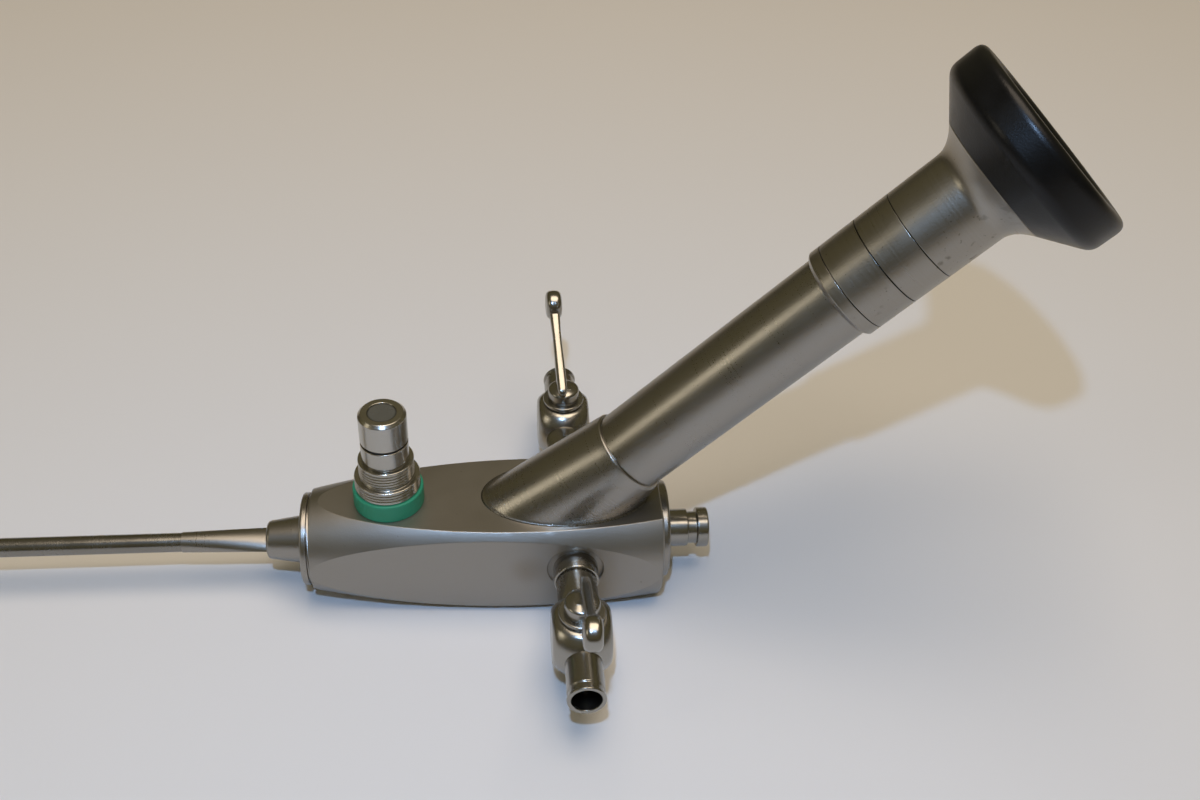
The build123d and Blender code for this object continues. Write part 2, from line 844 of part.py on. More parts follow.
            Rectangle(plug_square + 2 * fixed_gap, plug_square + 2 * fixed_gap)
        extrude(amount=hub_height + fixed_gap, mode=Mode.SUBTRACT)
    save(lever.part, f"{side_name}_lever")
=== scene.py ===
# %% [markdown]
# # A rigid endoscope on a table
# The instrument is a stack of turned steel pieces: a flat-sided housing, a slanted eyepiece, a
# light post, a thin sheath and two stopcocks. The engineering model gives every place and size, and
# this lesson adds what it leaves out: rounded edges, threads, forged levers and real finishes.

# %% Load the engineering model
import json
import math

import bpy
import numpy as np
from mathutils import Matrix, Vector


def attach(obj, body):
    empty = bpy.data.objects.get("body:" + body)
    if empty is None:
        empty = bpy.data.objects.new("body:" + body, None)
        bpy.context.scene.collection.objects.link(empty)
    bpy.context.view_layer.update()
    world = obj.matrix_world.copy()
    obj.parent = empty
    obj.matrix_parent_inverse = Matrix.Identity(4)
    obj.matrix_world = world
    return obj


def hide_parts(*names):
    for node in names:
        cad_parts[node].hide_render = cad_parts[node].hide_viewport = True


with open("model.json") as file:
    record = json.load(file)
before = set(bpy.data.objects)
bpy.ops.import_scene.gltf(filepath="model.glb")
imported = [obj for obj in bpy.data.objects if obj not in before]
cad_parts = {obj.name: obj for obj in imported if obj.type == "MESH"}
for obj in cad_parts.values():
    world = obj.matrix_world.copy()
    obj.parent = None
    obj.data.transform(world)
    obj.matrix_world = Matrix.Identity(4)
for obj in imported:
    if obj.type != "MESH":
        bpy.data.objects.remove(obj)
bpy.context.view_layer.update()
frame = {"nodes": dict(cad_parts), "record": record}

MM = 0.001

# %% [markdown]
# ## The camera
# The instrument is seen from the front and from above, with a slight turn and tilt. A camera can be
# aimed with rotation angles, but here its three axes are worked out first, because they are also
# handy for judging where a reflection comes from.

# %% Camera
yaw, pitch, roll = (math.radians(angle) for angle in (-6.0276, 39.0243, 2.5257))
level = math.cos(pitch)
forward = Vector((-math.sin(yaw) * level, math.cos(yaw) * level, -math.sin(pitch)))
level_right = Vector((math.cos(yaw), math.sin(yaw), 0))
level_up = level_right.cross(forward)
right = level_right * math.cos(roll) + level_up * math.sin(roll)
up = level_up * math.cos(roll) - level_right * math.sin(roll)

camera_data = bpy.data.cameras.new("camera")
camera_data.sensor_width = 36.0
focal_pixels, photo_width = 1321.957, 1200
camera_data.lens = camera_data.sensor_width * focal_pixels / photo_width
camera_data.clip_start = 0.01
camera = bpy.data.objects.new("camera", camera_data)
camera.matrix_world = Matrix((right, up, -forward)).transposed().to_4x4()
camera.location = Vector((1.206, -157.226, 164.6)) * MM
bpy.context.scene.collection.objects.link(camera)
bpy.context.scene.camera = camera
print("lens", round(camera_data.lens, 2), "mm")

# %% [markdown]
# ## Writing materials as sums
# A finish is a small calculation: a base value, plus clouds, minus wear. Wiring it node by node is
# hard to read, so one class stands for a node's output and turns + - * into Math nodes. Every
# other node comes from a single method that sets its options first and its sockets second.


# %% Values that can be added and multiplied
class Value:
    """A node's output; sums and products of such values add their own Math nodes."""

    def __init__(self, finish, socket):
        self.finish, self.socket = finish, socket

    def calculate(self, operation, *operands):
        inputs = dict(enumerate(operands))
        return self.finish.node("ShaderNodeMath", {"operation": operation}, inputs)

    def __add__(self, other):
        return self.calculate("ADD", self, other)

    def __sub__(self, other):
        return self.calculate("SUBTRACT", self, other)

    def __mul__(self, other):
        return self.calculate("MULTIPLY", self, other)


class Finish:
    """A material that is being written, with a Principled shader at its end."""

    def __init__(self, name, owner=None):
        self.material = owner or bpy.data.materials.new(name)
        self.material.use_nodes = True
        self.tree = self.material.node_tree
        self.tree.nodes.clear()

    def node(self, kind, settings=None, sockets=None, output=0):
        """Add a node: its settings first, then its sockets' values or links; return one output."""
        made = self.tree.nodes.new(kind)
        for key, value in (settings or {}).items():
            if key == "stops":
                ramp = made.color_ramp.elements
                while len(ramp) < len(value):
                    ramp.new(1.0)
                for stop, (position, colour) in zip(ramp, value):
                    stop.position, stop.color = position, (*colour, 1)
            else:
                setattr(made, key, value)
        for key, value in (sockets or {}).items():
            if isinstance(value, Value):
                self.tree.links.new(value.socket, made.inputs[key])
            else:
                made.inputs[key].default_value = value
        return Value(self, made.outputs[output]) if made.outputs else None


print("operators ready")

# %% [markdown]
# ## Marks that a surface can carry
# Steel that has been handled and sterilised for years is not one colour. Its marks are all noise in
# some form: broad clouds from wiping, fine grain from blasting, rings from the lathe, a few spots.


# %% Noise, rings, spots and ramps
def place(finish):
    """The point on the piece, in metres, in the same frame as the engineering model."""
    return finish.node("ShaderNodeTexCoord", output="Object")


def point_with(finish, operation, other, output=0):
    """A Vector Math node between the point on the piece and another vector."""
    inputs = {0: place(finish), 1: other}
    return finish.node("ShaderNodeVectorMath", {"operation": operation}, inputs, output)


def clouds(finish, size, detail=3.0, stretch=(1, 1, 1)):
    """Noise around 0.5, with lumps about size millimetres wide, longer where stretch is small."""
    point = point_with(finish, "MULTIPLY", stretch)
    noise = {"Vector": point, "Scale": 1 / (size * MM), "Detail": detail}
    return finish.node("ShaderNodeTexNoise", None, noise)


def along(finish, direction):
    """How far the point lies along a direction: the dot product of the two, in millimetres."""
    return point_with(finish, "DOT_PRODUCT", Vector(direction).normalized() / MM, "Value")


def rings(finish, direction, width):
    """Noise that only changes along a direction, as a lathe tool leaves it."""
    noise = {"W": along(finish, direction), "Scale": 1 / width, "Detail": 4.0}
    return finish.node("ShaderNodeTexNoise", {"noise_dimensions": "1D"}, noise)


def window(finish, value, low, high, start=0.0, end=1.0):
    """Map low..high to start..end along a smooth step, and hold it there outside."""
    smooth = {"interpolation_type": "SMOOTHSTEP"}
    return finish.node("ShaderNodeMapRange", smooth, {0: value, 1: low, 2: high, 3: start, 4: end})


def spot(finish, centre, radius, soft=0.5):
    """1 inside a ball around a point in millimetres, fading to 0 at its radius."""
    gap = point_with(finish, "DISTANCE", Vector(centre) * MM, "Value")
    return window(finish, gap * (1 / MM), radius * (1 - soft), radius, 1.0, 0.0)


def line(finish, direction, at, half_width):
    """1 on the plane at a distance along a direction, fading to 0 at a half width from it."""
    gap = along(finish, direction) - at
    gap = gap.calculate("ABSOLUTE", gap)
    return window(finish, gap, half_width * 0.5, half_width, 1.0, 0.0)


def blend(finish, amount, first, second):
    """A colour between two colours."""
    return finish.node("ShaderNodeMix", {"data_type": "RGBA"}, {0: amount, 6: first, 7: second}, 2)


def rgb(red, green, blue):
    """A linear colour with full alpha."""
    return (red, green, blue, 1.0)


print("marks ready")

# %% [markdown]
# ## Closing a finish
# The last nodes are the same each time. A Bump node turns relief into shading. Where a piece comes
# from the engineering model, its edges are perfectly sharp, and a Bevel node rounds how they shade,
# which gives the thin bright line that every broken steel edge has.


# %% Shader and output
def close(finish, colour, roughness, height=None, strength=0.3, edge=0.0, **constants):
    """Join colour, roughness and relief to a Principled shader; constants go to its sockets."""
    sockets = {"Base Color": colour, "Roughness": roughness}
    sockets.update({key.replace("_", " "): value for key, value in constants.items()})
    if height is not None:
        relief = {"Height": height, "Strength": strength, "Distance": 0.1 * MM}
        if edge:
            relief["Normal"] = finish.node("ShaderNodeBevel", {"samples": 6}, {"Radius": edge * MM})
        sockets["Normal"] = finish.node("ShaderNodeBump", None, relief)
    shader = finish.node("ShaderNodeBsdfPrincipled", None, sockets)
    finish.node("ShaderNodeOutputMaterial", None, {"Surface": shader})
    return finish.material


print("closing step ready")

# %% [markdown]
# ## Satin steel
# The housing is stainless steel blasted with glass beads: no direction in its grain, and soft, wide
# reflections. Its grey comes from the metal, and the marks are wiping clouds, a brown stain at the
# front stopcock and a few dark specks. The same steel, turned and then blasted, makes the eyepiece.

# %% Satin steel of the housing
slant = Vector((1, 0, 1)).normalized()


def satin_steel(name, edge=0.0, lathe=None, base=0.33, haze=0.3):
    """Bead-blasted steel: base is its grey, haze its roughness, lathe its fine rings' axis."""
    finish = Finish(name)
    wiping = clouds(finish, 14, 4.0)
    grain = clouds(finish, 0.22, 2.0)
    specks = window(finish, clouds(finish, 0.9, 2.0), 0.74, 0.79)
    stain = spot(finish, (6.5, -9.4, 9.5), 4.2, 0.9) * 0.35
    stain = stain + spot(finish, (-15.8, -7.9, 14.2), 0.5) * 0.8
    tone = (wiping - 0.5) * 0.35 + (grain - 0.5) * 0.18
    dark = rgb(base * 0.86, base * 0.81, base * 0.73)
    light = rgb(base * 1.14, base * 1.09, base * 1.01)
    colour = blend(finish, tone + 0.5, dark, light)
    colour = blend(finish, stain, colour, rgb(0.19, 0.15, 0.10))
    colour = blend(finish, specks * 0.35, colour, rgb(0.12, 0.11, 0.09))
    roughness = (wiping - 0.5) * 0.16 + (grain - 0.5) * 0.1 + haze
    height = grain
    if lathe:
        turning = rings(finish, lathe, 0.35)
        roughness = roughness + (turning - 0.5) * 0.08
        height = grain + turning * 0.12
    return close(finish, colour, roughness, height, 0.14, edge, Metallic=1.0)


housing_steel = satin_steel("satin steel", edge=0.22, haze=0.41)
barrel_steel = satin_steel("satin steel, turned on the slant", edge=0.15, lathe=slant)
shaft_steel = satin_steel("satin steel, turned along the shaft", lathe=(1, 0, 0))
print("satin steel:", housing_steel.name, "and two turned kinds")

# %% [markdown]
# ## Scuffed steel of the eyepiece rings
# Hands and camera couplers rub the wide end of the eyepiece. The rubbing leaves short darker
# streaks, so the noise is stretched along the surface and cut off high, to keep only a few. Painted
# shade darkens the seams between the rings, which are drawn as thin dark lines square to the axis.
# The places of the seams are distances from the point where the axis leaves the housing.

# %% Scuffed steel
eyepiece_start = 21.88
step_end, first_ring_end, second_ring_end = 56.6, 62.85, 68.8
finish = Finish("satin steel, scuffed")
turning = rings(finish, slant, 0.3)
grain = clouds(finish, 0.25, 2.0)
wiping = clouds(finish, 9, 4.0)
scuffs = window(finish, clouds(finish, 2.4, 3.0, (1.0, 0.35, 1.0)), 0.62, 0.72)
tiny = window(finish, clouds(finish, 0.5, 1.0), 0.72, 0.78)
tone = (wiping - 0.5) * 0.35 + (turning - 0.5) * 0.3
colour = blend(finish, tone + 0.5, rgb(0.28, 0.26, 0.23), rgb(0.38, 0.36, 0.325))
# painted shade: near-black lines where the rings meet, darkening the seams between them
painted_seam_shade = line(finish, slant, eyepiece_start + step_end, 0.1)
painted_seam_shade = painted_seam_shade + line(finish, slant, eyepiece_start + first_ring_end, 0.13)
painted_seam_shade = painted_seam_shade + line(finish, slant, eyepiece_start + second_ring_end, 0.1)
rubbed = spot(finish, (67.5, -7.0, 67.0), 7.0, 0.9)
marks = scuffs * 0.3 + tiny * 0.5 + scuffs * rubbed * 0.5
colour = blend(finish, marks, colour, rgb(0.10, 0.09, 0.07))
colour = blend(finish, painted_seam_shade, colour, rgb(0.012, 0.012, 0.012))
roughness = (wiping - 0.5) * 0.15 + (turning - 0.5) * 0.12 + scuffs * 0.06 + 0.32
scuffed_steel = close(finish, colour, roughness, grain + turning * 0.2, 0.16, Metallic=1.0)
print("scuffed steel:", len(finish.tree.nodes), "nodes")

# %% [markdown]
# ## Polished steel
# Sheath, light post, port and stopcocks are polished, and mirror the dim room over the bright
# table. A perfect mirror would look like chrome, so thin haze and wiping marks stay in the
# roughness, and the grey stays slightly warm.


# %% Polished steel
def polished_steel(name, base=0.36, haze=0.25, edge=0.0, lathe=None):
    """Polished steel: base is its grey, haze its mean roughness."""
    finish = Finish(name)
    wiping = clouds(finish, 5, 4.0)
    fine = clouds(finish, 0.35, 2.0)
    dark = rgb(base * 0.82, base * 0.78, base * 0.69)
    light = rgb(base * 1.1, base * 1.07, base * 1.0)
    colour = blend(finish, (wiping - 0.5) * 0.6 + 0.5, dark, light)
    roughness = (wiping - 0.5) * 0.14 + (fine - 0.5) * 0.06 + haze
    height = fine
    if lathe:
        height = fine + rings(finish, lathe, 0.18) * 1.5
    return close(finish, colour, roughness, height, 0.04, edge, Metallic=1.0)


polished = polished_steel("polished steel", edge=0.12)
turned_polish = polished_steel("polished steel, turned upright", 0.46, 0.24, lathe=(0, 0, 1))
sheath_polish = polished_steel("polished steel of the sheath", 0.28, 0.26, lathe=(1, 0, 0))
print("polished steel:", polished.name)

# %% [markdown]
# ## Plastic, rubber, glass and the rest
# The eye cup is black plastic with a silky skin: almost no colour, a mid roughness, and fine bumps.
# The ring that marks the instrument's size is matt green plastic. Rubber is rougher and dustier.


# %% Plastics and rubber
def moulded(name, dark, light, roughness, size=0.3, strength=0.15, edge=0.0, **constants):
    """A dull dielectric between two colours, with lumps of a size in millimetres as its relief."""
    finish = Finish(name)
    wear = clouds(finish, 4, 4.0)
    lumps = clouds(finish, size, 2.0)
    colour = blend(finish, (wear - 0.5) * 1.2 + 0.5, rgb(*dark), rgb(*light))
    roughness = (wear - 0.5) * 0.2 + (lumps - 0.5) * 0.1 + roughness
    return close(finish, colour, roughness, lumps, strength, edge, **constants)


near_black, less_black = (0.002, 0.002, 0.0022), (0.004, 0.004, 0.0045)
black_plastic = moulded("black plastic", near_black, less_black, 0.34, Specular_IOR_Level=0.3)
green_plastic = moulded("green plastic", (0.016, 0.235, 0.12), (0.026, 0.30, 0.165), 0.5)
black_rubber = moulded("black rubber", (0.012,) * 3, (0.03,) * 3, 0.65, 0.15, 0.3)
grey, light_grey = (0.02, 0.02, 0.02), (0.035, 0.035, 0.04)
black_metal = moulded("black anodised metal", grey, light_grey, 0.4, 0.1, 0.1, 0.08)
print("plastics ready")


# %% Glass, fibres and brass
def fibre_cells(finish, size):
    """The distance from the middle of the nearest fibre, for fibres of a size in millimetres."""
    inputs = {"Vector": place(finish), "Scale": 1 / (size * MM)}
    return finish.node("ShaderNodeTexVoronoi", None, inputs, "Distance")


finish = Finish("lens glass")
dust = clouds(finish, 1.5, 4.0)
tint = blend(finish, dust, rgb(0.93, 0.96, 0.95), rgb(0.82, 0.86, 0.85))
clear = {"Transmission_Weight": 1.0, "IOR": 1.5, "Coat_Weight": 0.4}
lens_glass = close(finish, tint, dust * 0.12 + 0.02, **clear)

finish = Finish("ends of glass fibres")
cells = fibre_cells(finish, 0.14)
patches = clouds(finish, 1.2, 3.0)
gaps = window(finish, cells, 0.15, 0.6)
shade = blend(finish, gaps, rgb(0.15, 0.145, 0.12), rgb(0.035, 0.034, 0.03))
shade = blend(finish, patches * 0.5, shade, rgb(0.07, 0.068, 0.058))
fibre_ends = close(finish, shade, patches * 0.3 + 0.3, cells, 0.2)

finish = Finish("ground face of the fibres")
cells = fibre_cells(finish, 0.12)
patches = clouds(finish, 1.6, 3.0)
rim = spot(finish, (-15.6, 0, 34.93), 2.3, 0.16)
tone = patches * 0.5 + cells * 0.3
shade = blend(finish, tone, rgb(0.105, 0.10, 0.08), rgb(0.065, 0.062, 0.05))
shade = blend(finish, rim, rgb(0.006, 0.006, 0.006), shade)
fibre_face = close(finish, shade, patches * 0.15 + 0.22, cells, 0.08, Coat_Weight=0.3)

finish = Finish("turned brass")
turning = rings(finish, slant, 0.3)
gold = blend(finish, turning, rgb(0.55, 0.38, 0.15), rgb(0.68, 0.5, 0.22))
brass = close(finish, gold, turning * 0.15 + 0.25, turning, 0.2, Metallic=1.0)
print("glass, fibre and brass ready")

# %% [markdown]
# ## Dressing the model's own pieces
# Pieces whose shape is already right keep it and only get a finish. A table from material slot to
# finish covers them all, and a few pieces that are turned on another axis are named one by one.

# %% Finishes for the engineering model's pieces
by_slot = {
    "satin_steel": housing_steel,
    "polished_steel": polished,
    "black_plastic": black_plastic,
    "green_plastic": green_plastic,
    "black_rubber": black_rubber,
    "lens_glass": lens_glass,
    "fibre_glass": fibre_ends,
    "black_metal": black_metal,
    "brass_fitting": brass,
}
by_node = {
    "light_window": fibre_face,
    "eyepiece_tube": barrel_steel,
    "eyepiece_core": barrel_steel,
    "sheath_tube": sheath_polish,
    "distal_tip": shaft_steel,
}
for part in frame["record"]["subparts"]:
    solid = frame["nodes"][part["node"]]
    finish_here = by_node.get(part["node"], by_slot[part["material_slot"]])
    solid.data.materials.clear()
    solid.data.materials.append(finish_here)
print("dressed", len(frame["nodes"]), "pieces")

# %% [markdown]
# ## Surfaces from numbers
# Nearly every piece here came off a lathe, so one function makes them: an outline in the plane of
# the axis, carried round it. The outline's corners are rounded first, since no real edge is sharp.
# The rows of points could be smoothed by a modifier, but worked out directly they are exact, and
# their normals are known from the outline, so flats stay flat in the reflections.


# %% A grid of points becomes a closed skin
def merge_poles(grid):
    """One point for the first row and one for the last, and every point of the rows between."""
    return np.concatenate([grid[0, :1], grid[1:-1].reshape(-1, 3), grid[-1, :1]])


def skin(name, rows, finish, body, stands_for, normals=None, poles=False):
    """Join rows of points, shape (rows, points, 3) in mm, into one closed mesh.

    Row i and row i+1 are joined by four-sided faces, and each row closes on itself. The last row
    is joined to the first, or with poles the first and last rows are single points with fans.
    """
    count, around, _ = rows.shape
    index = np.arange(count * around).reshape(count, around)
    if poles:
        index[1:-1] = 1 + np.arange((count - 2) * around).reshape(count - 2, around)
        index[0], index[-1] = 0, 1 + (count - 2) * around
        rows = merge_poles(rows)
        normals = None if normals is None else merge_poles(normals)
    below, above = (index[:-1], index[1:]) if poles else (index, np.roll(index, -1, 0))
    faces = np.stack([below, above, np.roll(above, -1, 1), np.roll(below, -1, 1)], -1)
    if poles:
        fans = [faces[0][:, :3].tolist(), faces[-1][:, [0, 1, 3]].tolist()]
        faces = fans[0] + faces[1:-1].reshape(-1, 4).tolist() + fans[1]
    else:
        faces = faces.reshape(-1, 4).tolist()
    mesh = bpy.data.meshes.new(name)
    mesh.from_pydata(rows.reshape(-1, 3) * MM, [], faces)
    mesh.polygons.foreach_set("use_smooth", np.ones(len(mesh.polygons), bool))
    mesh.materials.append(finish)
    if normals is not None:
        mesh.normals_split_custom_set_from_vertices(normals.reshape(-1, 3))
    mesh.update()
    piece = bpy.data.objects.new(name, mesh)
    bpy.context.scene.collection.objects.link(piece)
    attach(piece, body)
    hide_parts(*stands_for)
    return piece


# %% An outline with rounded corners, carried round an axis
def soften(outline, closed, steps=7):
    """Round an outline's corners; each row is (distance, radius, cut), all in millimetres.

    Corner P gives way to (1-t)^2 A + 2t(1-t) P + t^2 B with t from 0 to 1. A and B lie on its two
    edges at the cut from P, or at 45 % of the shorter edge. The tangent is (1-t) a + t b, where a
    and b are the edges' directions, and the normal is the tangent turned by a right angle.
    """
    points = np.array([row[:2] for row in outline], float)
    cuts = np.array([row[2] if len(row) > 2 else 0.0 for row in outline])
    back, ahead = points - np.roll(points, 1, 0), np.roll(points, -1, 0) - points
    back_length, ahead_length = np.linalg.norm(back, axis=1), np.linalg.norm(ahead, axis=1)
    cuts = np.minimum(cuts, 0.45 * np.minimum(back_length, ahead_length))[:, None, None]
    back, ahead = (back / back_length[:, None])[:, None], (ahead / ahead_length[:, None])[:, None]
    t = np.linspace(0, 1, steps)[None, :, None]
    curve = points[:, None] - cuts * back * (1 - t) ** 2 + cuts * ahead * t**2
    tangent = (1 - t) * back + t * ahead
    if not closed:
        tangent[0], tangent[-1] = ahead[0], back[-1]
    normal = np.stack([tangent[..., 1], -tangent[..., 0]], -1)
    return curve.reshape(-1, 2), normal.reshape(-1, 2)


def axis_frame(origin, direction):
    """An axis as (origin, d, u, v): d runs along it, u and v are square to it and each other."""
    d = np.array(direction, float) / np.linalg.norm(direction)
    u = np.cross((0, 1, 0) if abs(d[1]) < 0.9 else (0, 0, 1), d)
    u /= np.linalg.norm(u)
    return np.array(origin, float), d, u, np.cross(d, u)


def turned(name, axis, outline, finish, body, stands_for, around=144, step=0.0, relief=None):
    """Carry an outline round an axis: point = origin + x d + (r + relief) (cos a u + sin a v).

    x and r are the outline's distance and radius, and a runs once round. relief(x, r, a) is a
    height in mm, and step is the spacing that it needs along the outline. An outline that starts
    and ends at radius 0 closes in two poles, and any other closes on itself.
    """
    poles = outline[0][1] == 0 and outline[-1][1] == 0
    ring = np.array([row[:2] for row in outline], float)
    following = np.roll(ring, -1, 0)
    if np.sum(ring[:, 0] * following[:, 1] - following[:, 0] * ring[:, 1]) < 0:
        outline = outline[::-1]
    curve, flat_normal = soften(outline, not poles)
    if not poles:
        curve, flat_normal = (np.vstack([column, column[:1]]) for column in (curve, flat_normal))
    if step:
        run = np.concatenate([[0], np.cumsum(np.linalg.norm(np.diff(curve, axis=0), axis=1))])
        run += np.arange(len(run)) * 1e-9
        dense = np.union1d(run, np.arange(0, run[-1], step))
        curve, flat_normal = (
            np.stack([np.interp(dense, run, column) for column in columns.T], -1)
            for columns in (curve, flat_normal)
        )
    if not poles:
        curve, flat_normal = curve[:-1], flat_normal[:-1]
    origin, d, u, v = axis
    angle = np.linspace(0, 2 * np.pi, around, endpoint=False)
    outward = np.cos(angle)[:, None] * u + np.sin(angle)[:, None] * v
    x, r = curve[:, :1], curve[:, 1:] * np.ones(around)
    if relief:
        r = r + relief(x, curve[:, 1:], angle)
    rows = origin + x[..., None] * d + r[..., None] * outward
    normals = flat_normal[:, :1, None] * d + flat_normal[:, 1:, None] * outward
    normals = normals / np.maximum(np.linalg.norm(normals, axis=-1, keepdims=True), 1e-9)
    normals = None if relief else normals
    return skin(name, rows, finish, body, stands_for, normals, poles)


print("lathe ready")

# %% [markdown]
# ## The slanted eyepiece
# A plain tube rises at 45 degrees, and a chamfered step, two narrow rings and a flared barrel
# follow it. Each ring has tiny rounded edges, so a dark seam with a bright line beside it shows
# where one stops and the next begins, and painted shade in the scuffed steel darkens the seams
# more.
# The seams tell the eye that these are separate pieces.

# %% Slanted foot
fixed, satin, bright = "instrument", "satin_steel", "polished_steel"
housing_top = 17.0
eyepiece = axis_frame((13.94, 0, housing_top), (1, 0, 1))
bore = 5.3
seam, seam_radius, lip = 12.65, 7.1, 0.3
oval_x, oval_length, oval_width, oval_ratio = 12.8, 13.4, 7.44, 0.55
bead_height, bead_width = 0.35, 0.3


def foot():
    """Straight lines join an oval on the housing to the seam's circle: P = (1-s) E(a) + s C(a).

    E is an ellipse on the flat with the half axes oval_length and oval_width. At its very bottom
    the skin turns outward by bead_width (1 - sqrt(1 - (1-t)^2)), with t the height above the flat
    over bead_height. That leaves a polished bead round the foot.
    """
    angle = np.linspace(0, 2 * np.pi, 192, endpoint=False)[None, :, None]
    across, beside = np.array((1, 0, -1)) / np.sqrt(2), np.array((0, 1, 0))
    centre = eyepiece[0] + seam * eyepiece[1]
    oval_centre = np.array((oval_x, 0, housing_top))
    oval = oval_centre + np.cos(angle) * (oval_length, 0, 0) + oval_width * np.sin(angle) * beside
    around = np.cos(angle) * across + np.sin(angle) * beside
    s = np.concatenate([np.linspace(0, 0.03, 8), np.linspace(0.05, 0.97, 24)])[:, None, None]
    skin_rows = (1 - s) * oval + s * (centre + seam_radius * around)
    t = np.clip((skin_rows[..., 2:] - housing_top) / bead_height, 0, 1)
    flat_way = np.cos(angle) * (oval_ratio, 0, 0) + np.sin(angle) * beside
    flat_way = flat_way / np.linalg.norm(flat_way, axis=-1, keepdims=True)
    skin_rows = skin_rows + bead_width * (1 - np.sqrt(1 - (1 - t) ** 2)) * flat_way
    turn = np.linspace(0, np.pi / 2, 7)[:, None, None]
    rim = centre - lip * (1 - np.sin(turn)) * eyepiece[1]
    rim = rim + (seam_radius - lip + lip * np.cos(turn)) * around
    mouth = centre + bore * around
    bottom = mouth - eyepiece[1] * (mouth[..., 2:] - housing_top) / eyepiece[1][2]
    return np.concatenate([skin_rows, rim, mouth, bottom])


skin("slanted_foot", foot(), barrel_steel, fixed, ["eyepiece_socket"])
print("foot made")

# %% Step, rings and barrel
ring = 7.42
flare_start, flare_length, flare_rise = 77.4, 4.1, 2.88
cup_start, cup_seat = 81.5, 10.3


def eyepiece_ring(name, start, end, first_cut, last_cut, near_radius=ring):
    """A ring of the eyepiece between two distances, with its own two edge roundings."""
    outline = [(start, bore), (start, near_radius, first_cut), (end, ring, last_cut), (end, bore)]
    if near_radius != ring:
        outline.insert(2, (start + ring - near_radius, ring, first_cut))
    return turned(name, eyepiece, outline, scuffed_steel, fixed, [name])


eyepiece_ring("step_ring", 54.2, step_end, 0.12, 0.16, 6.85).name = "chamfered_step"
eyepiece_ring("marking_ring", step_end, first_ring_end, 0.16, 0.14).name = "first_ring"
eyepiece_ring("spacer_ring", first_ring_end, second_ring_end, 0.14, 0.14).name = "second_ring"
shares = np.linspace(0, 1, 14)
flare = [(flare_start + flare_length * t, ring + flare_rise * t**2, 0.3) for t in shares]
barrel = [(second_ring_end, bore), (second_ring_end, ring, 0.14), *flare[:-1]]
barrel += [(cup_start, cup_seat), (cup_start, bore)]
stands_for = ["eyepiece_barrel"]
turned("flared_barrel", eyepiece, barrel, scuffed_steel, fixed, stands_for, step=0.6)
print("rings and barrel made")

# %% Eye cup
rim_radius, rim_front, window_hole = 16.0, 91.3, 4.5
cup = [(cup_start, window_hole), (cup_start, cup_seat, 0.1), (85.8, rim_radius, 1.2)]
cup += [(rim_front, rim_radius, 1.6), (rim_front, 12.4, 1.1), (89.4, 10.2, 0.2), (89.2, 9.6, 0.2)]
cup += [(85.9, 5.2, 0.1), (84.9, 5.2), (84.9, window_hole)]
turned("eye_cup", eyepiece, cup, black_plastic, fixed, ["eyepiece_cup"], 192)
print("eye cup made")

# %% [markdown]
# ## The light post
# A fibre cable clips here. From below: the green ring, a flange and a neck with fine screw
# threads, a smooth adapter, a thin rubber ring and the tip with its window. A thread is one ridge
# that climbs as it goes round, so its height depends on the distance along the axis and on the
# angle together.

# %% Threads as a function of distance and angle
post = axis_frame((-15.6, 0, 0), (0, 0, 1))
pitch_of_thread, thread_depth, fade = 0.55, 0.13, 0.2
ring_top, flange_top, neck_top, socket_floor = 20.2, 22.65, 25.95, 23.95


def thread(x, r, angle):
    """Height -depth (1 - cos(2 pi x / pitch - a)) / 2, faded out at both ends of each length.

    The tests of r keep the ridges on the outer faces of the flange and of the neck.
    """
    wave = (1 - np.cos(2 * np.pi * x / pitch_of_thread - angle)) / 2
    flange, neck = (
        np.clip((x - start) / fade, 0, 1) * np.clip((end - x) / fade, 0, 1)
        for start, end in ((20.55, 22.4), (22.9, 25.6))
    )
    return -thread_depth * wave * (flange * (r > 5.1) + neck * (r > 4.3) * (r < 4.5))


base = [(14, 2.0), (14, 4.0), (ring_top, 4.0), (ring_top, 5.2, 0.2), (flange_top, 5.2, 0.25)]
base += [(flange_top, 4.4, 0.1), (neck_top, 4.4, 0.2), (neck_top, 3.02), (socket_floor, 3.02)]
base += [(socket_floor, 2.0)]
turned("threaded_base", post, base, turned_polish, fixed, ["post_base"], 160, 0.06, thread)
print("thread pitch", pitch_of_thread, "mm")

# %% Ring, adapter, tip and seal
seal_bottom, seal_top, spigot_top, tip_top, post_radius = 29.4, 29.85, 31.85, 35.05, 3.75


def post_piece(name, outline, finish, stands_for):
    """A turned piece of the light post."""
    turned(name, post, outline, finish, fixed, [stands_for])


colour_ring = [(housing_top, 4.02), (housing_top, 5.63, 0.12), (ring_top, 5.63, 0.35)]
colour_ring += [(ring_top, 4.02)]
post_piece("size_ring", colour_ring, green_plastic, "colour_ring")
adapter = [(socket_floor, 2.0), (socket_floor, 3.0), (neck_top, 3.0)]
adapter += [(neck_top, post_radius, 0.15), (seal_bottom, post_radius, 0.2), (seal_bottom, 3.0)]
adapter += [(spigot_top, 3.0), (spigot_top, 2.0)]
post_piece("smooth_adapter", adapter, turned_polish, "post_adapter")
seal = [(seal_bottom, 3.02), (seal_bottom, 3.5, 0.2), (seal_top, 3.5, 0.2), (seal_top, 3.02)]
post_piece("thin_seal", seal, black_rubber, "post_oring")
tip = [(seal_top, 3.02), (seal_top, post_radius, 0.2), (34.55, post_radius, 0.1)]
tip += [(tip_top, 3.25, 0.1), (tip_top, 2.32, 0.06), (34.95, 2.24, 0.05), (34.33, 2.24)]
tip += [(34.33, 2.0), (spigot_top, 2.0), (spigot_top, 3.02)]
post_piece("window_tip", tip, turned_polish, "post_tip")
print("light post made")

# %% [markdown]
# ## The sheath end and the port
# A collar with a rounded shoulder, a short cone and a tapered sleeve lead into the sheath. At the
# other end a groove and a flange let a sealing cap snap on.

